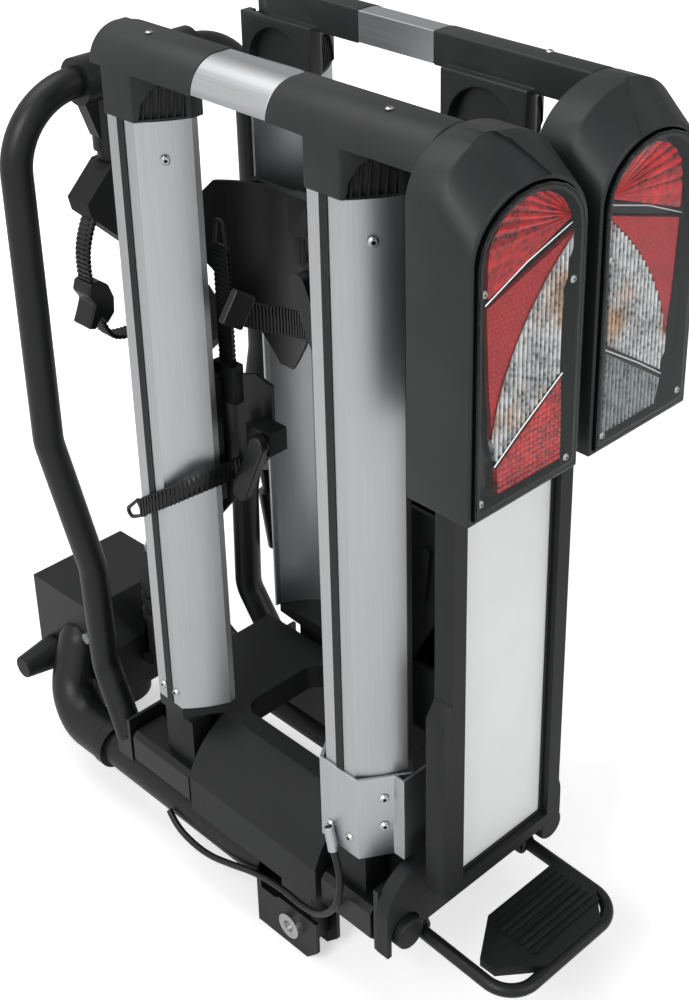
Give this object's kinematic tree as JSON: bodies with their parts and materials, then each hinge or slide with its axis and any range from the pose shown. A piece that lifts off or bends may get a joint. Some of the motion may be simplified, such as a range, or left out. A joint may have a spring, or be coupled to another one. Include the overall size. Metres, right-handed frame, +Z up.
{
  "type": "tow bar bike carrier",
  "caption": "Folding tow bar bike carrier, shown folded upright, with wheel rails, rear lamps, plate holder, hoop with frame claws and a ball coupling.",
  "frame": {"origin": "on the ground, in the middle of the folded carrier's footprint", "axes": "+Z up, +Y towards the car and the tow ball, +X to the right seen from behind the car"},
  "size_m": [0.3036, 0.702, 0.857],
  "materials": {
    "black_steel": "satin black powder coat on steel tube and plate",
    "black_plastic": "black moulded polypropylene with a fine grain",
    "lamp_plastic": "black moulded lamp housing",
    "rail_aluminium": "brushed clear anodised extrusion",
    "bright_steel": "zinc plated steel",
    "cast_metal": "painted casting",
    "strap_rubber": "flexible black strap",
    "cable_rubber": "black cable sheath",
    "claw_rubber": "soft black claw",
    "lamp_lens": "red and clear moulded lens",
    "lamp_chrome": "metallised reflector",
    "plate_white": "bare white plate"
  },
  "bodies": {
    "chassis": {"chassis_tubes": "black_steel", "chassis_bolts": "bright_steel", "coupling_box": "black_steel", "ball_socket": "cast_metal", "lock_post": "black_plastic"},
    "knob": {"clamp_knob": "black_plastic"},
    "jaw": {"clamp_jaw": "cast_metal"},
    "key": {"lock_key": "bright_steel"},
    "platform": {"platform_sides": "black_steel", "platform_crosses": "black_steel", "hinge_pins": "black_steel", "rear_cover": "black_plastic", "platform_cover": "black_plastic", "hoop": "black_steel", "holder_mast": "black_plastic", "pivot_bolt": "bright_steel", "lamp_lead": "cable_rubber", "main_cable": "cable_rubber", "car_plug": "black_plastic"},
    "latch": {"latch_hook": "bright_steel"},
    "pedal": {"pedal_tube": "black_steel", "pedal_tread": "black_plastic"},
    "plate": {"plate_holder": "black_plastic", "licence_plate": "plate_white"},
    "lever": {"holder_lever": "black_plastic"},
    "arm_short": {"frame_arm_short": "black_steel"},
    "claw_short": {"frame_claw_short": "claw_rubber", "claw_strap": "strap_rubber"},
    "arm_long": {"frame_arm_long": "black_steel"},
    "claw_long": {"frame_claw_long": "claw_rubber"},
    "fold_left": {"hinge_bar_left": "black_steel", "rail_feet_left": "black_plastic", "rail_front_left": "rail_aluminium", "rail_rear_left": "rail_aluminium", "rail_bracket_left": "rail_aluminium", "end_cap_front_left": "black_plastic", "end_cap_rear_left": "black_plastic", "end_bar_cover_left": "rail_aluminium", "lamp_housing_left": "lamp_plastic", "lamp_reflector_left": "lamp_chrome", "lamp_lens_left": "lamp_lens"},
    "wheel_front_left": {"wheel_chock_left": "black_plastic", "wheel_straps_left": "strap_rubber"},
    "ratchet_left": {"ratchet_lever_left": "black_plastic"},
    "wheel_rear_left": {"wheel_holder_rear_left": "black_plastic"},
    "fold_right": {"hinge_bar_right": "black_steel", "rail_feet_right": "black_plastic", "rail_front_right": "rail_aluminium", "rail_rear_right": "rail_aluminium", "rail_bracket_right": "rail_aluminium", "end_cap_front_right": "black_plastic", "end_cap_rear_right": "black_plastic", "end_bar_cover_right": "rail_aluminium", "lamp_housing_right": "lamp_plastic", "lamp_reflector_right": "lamp_chrome", "lamp_lens_right": "lamp_lens"},
    "wheel_front_right": {"wheel_chock_right": "black_plastic", "wheel_straps_right": "strap_rubber"},
    "ratchet_right": {"ratchet_lever_right": "black_plastic"},
    "wheel_rear_right": {"wheel_holder_rear_right": "black_plastic"}
  },
  "joints": [
    {"name": "platform_tilt", "type": "hinge", "parent": "chassis", "child": "platform", "pos_m": [0, -0.102, 0.032], "axis": [1, 0, 0], "range_deg": [0, 35]},
    {"name": "fold_left", "type": "hinge", "parent": "platform", "child": "fold_left", "pos_m": [-0.093, -0.051, 0.119], "axis": [0, 1, 0], "range_deg": [-90, 0], "deforming": ["lamp_lead"]},
    {"name": "fold_right", "type": "hinge", "parent": "platform", "child": "fold_right", "pos_m": [0.093, -0.051, 0.119], "axis": [0, 1, 0], "range_deg": [0, 90]},
    {"name": "pedal_press", "type": "hinge", "parent": "platform", "child": "pedal", "pos_m": [0, -0.235, 0.104], "axis": [1, 0, 0], "range_deg": [0, 15], "stiffness_Nm_per_rad": 3, "springref_deg": -11.46},
    {"name": "latch_release", "type": "hinge", "parent": "platform", "child": "latch", "pos_m": [-0.057, -0.067, 0.148], "axis": [1, 0, 0], "range_deg": [-25.1, 0]},
    {"name": "plate_turn", "type": "hinge", "parent": "platform", "child": "plate", "pos_m": [0, -0.263, 0.433], "axis": [0, 1, 0], "range_deg": [0, 90]},
    {"name": "lever_release", "type": "hinge", "parent": "platform", "child": "lever", "pos_m": [-0.043, -0.206, 0.43], "axis": [1, 0, 0], "range_deg": [-60, 0]},
    {"name": "arm_short_swing", "type": "hinge", "parent": "platform", "child": "arm_short", "pos_m": [-0.034, 0.174, 0.781], "axis": [1, 0, 0], "range_deg": [-10, 90]},
    {"name": "claw_short_turn", "type": "hinge", "parent": "arm_short", "child": "claw_short", "pos_m": [-0.034, 0.174, 0.69], "axis": [0, 0, 1], "range_deg": [-90, 90]},
    {"name": "arm_long_swing", "type": "hinge", "parent": "platform", "child": "arm_long", "pos_m": [0.046, 0.174, 0.781], "axis": [1, 0, 0], "range_deg": [-5, 100]},
    {"name": "claw_long_turn", "type": "hinge", "parent": "arm_long", "child": "claw_long", "pos_m": [0.046, 0.174, 0.54], "axis": [0, 0, 1], "range_deg": [-90, 90]},
    {"name": "wheel_front_left_slide", "type": "slide", "parent": "fold_left", "child": "wheel_front_left", "axis": [0, 0, 1], "range_m": [-0.1, 0.04]},
    {"name": "wheel_front_right_slide", "type": "slide", "parent": "fold_right", "child": "wheel_front_right", "axis": [0, 0, 1], "range_m": [-0.1, 0.06]},
    {"name": "wheel_rear_left_slide", "type": "slide", "parent": "fold_left", "child": "wheel_rear_left", "axis": [0, 0, 1], "range_m": [-0.03, 0.04]},
    {"name": "wheel_rear_right_slide", "type": "slide", "parent": "fold_right", "child": "wheel_rear_right", "axis": [0, 0, 1], "range_m": [-0.03, 0.04]},
    {"name": "ratchet_left_lift", "type": "hinge", "parent": "wheel_front_left", "child": "ratchet_left", "pos_m": [-0.054, -0.033, 0.503], "axis": [1, 0, 0], "range_deg": [-60, 0]},
    {"name": "ratchet_right_lift", "type": "hinge", "parent": "wheel_front_right", "child": "ratchet_right", "pos_m": [0.054, -0.033, 0.628], "axis": [1, 0, 0], "range_deg": [-60, 0]},
    {"name": "knob_turn", "type": "hinge", "parent": "chassis", "child": "knob", "pos_m": [-0.081, 0.323, 0.099], "axis": [1, 0, 0], "range_deg": [0, 721]},
    {"name": "jaw_slide", "type": "slide", "parent": "chassis", "child": "jaw", "axis": [0, 1, 0], "range_m": [0, 0.01]},
    {"name": "key_turn", "type": "hinge", "parent": "chassis", "child": "key", "pos_m": [0, 0.205, 0.24], "axis": [0, 0, 1], "range_deg": [0, 90]}
  ],
  "couplings": [
    {"joint": "latch_release", "follows": "pedal_press", "ratio": -1.6667},
    {"joint": "knob_turn", "follows": "jaw_slide", "rad_per_m": 1256.6}
  ]
}
